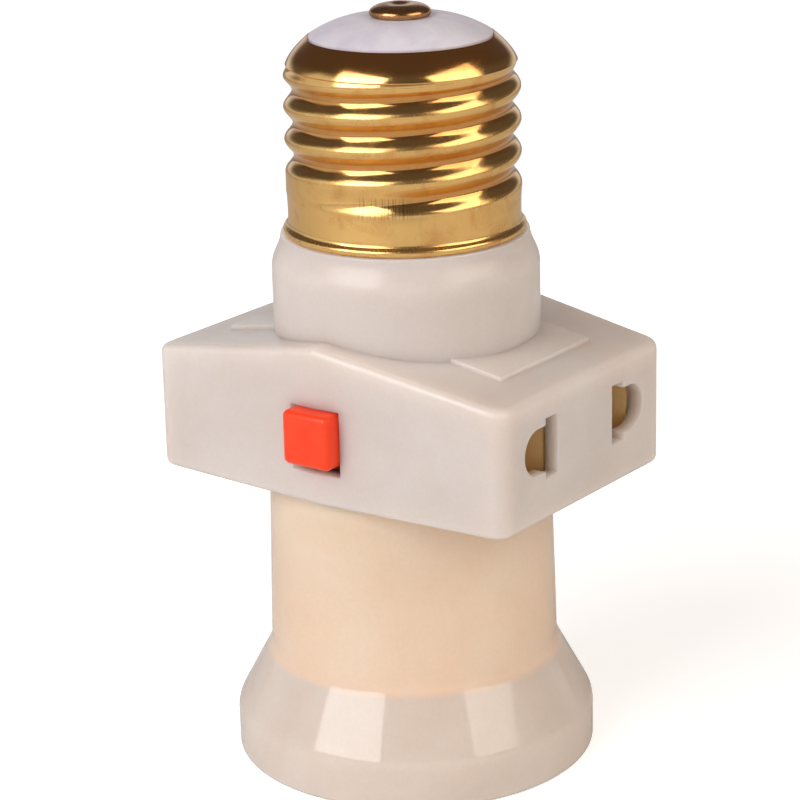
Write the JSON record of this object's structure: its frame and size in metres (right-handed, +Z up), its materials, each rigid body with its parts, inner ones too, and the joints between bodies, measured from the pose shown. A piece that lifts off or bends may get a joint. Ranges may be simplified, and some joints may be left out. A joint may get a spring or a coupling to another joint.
{
  "type": "switched lamp socket",
  "caption": "Screw-in lamp socket adaptor with a slide switch, a lamp socket below and a two-pin outlet at each end of its box.",
  "frame": {"origin": "centre of the flared mouth's rim, on the plane the part stands on", "axes": "+Z up from the mouth to the screw base, +X towards one outlet face, the switch on the -Y side"},
  "size_m": [0.0476, 0.0414, 0.0866],
  "materials": {
    "brass": "bright rolled sheet",
    "contact_brass": "dull strip",
    "insulator": "satin",
    "milky_plastic": "glossy, slightly translucent",
    "cream_plastic": "glossy, slightly translucent",
    "knob_plastic": "satin",
    "board": "pressed board",
    "steel": "plated"
  },
  "bodies": {
    "holder": {"screw_shell": "brass", "base_insulator": "insulator", "centre_contact": "contact_brass", "live_lead": "contact_brass", "neutral_strap": "contact_brass", "upper_housing": "milky_plastic", "socket_body": "cream_plastic", "housing_screws": "steel", "switch_board": "board", "feed_contact": "contact_brass", "lamp_contact": "contact_brass", "live_bus": "contact_brass", "neutral_bus": "contact_brass", "socket_shell": "brass", "centre_tongue": "contact_brass", "tongue_rivet": "steel", "shell_rivets": "steel"},
    "slider": {"switch_knob": "knob_plastic", "knob_spring": "steel", "contact_bridge": "contact_brass"}
  },
  "joints": [
    {"name": "switch_slide", "type": "slide", "parent": "holder", "child": "slider", "axis": [0, 0, 1], "range_m": [-0.0011, 0]}
  ]
}
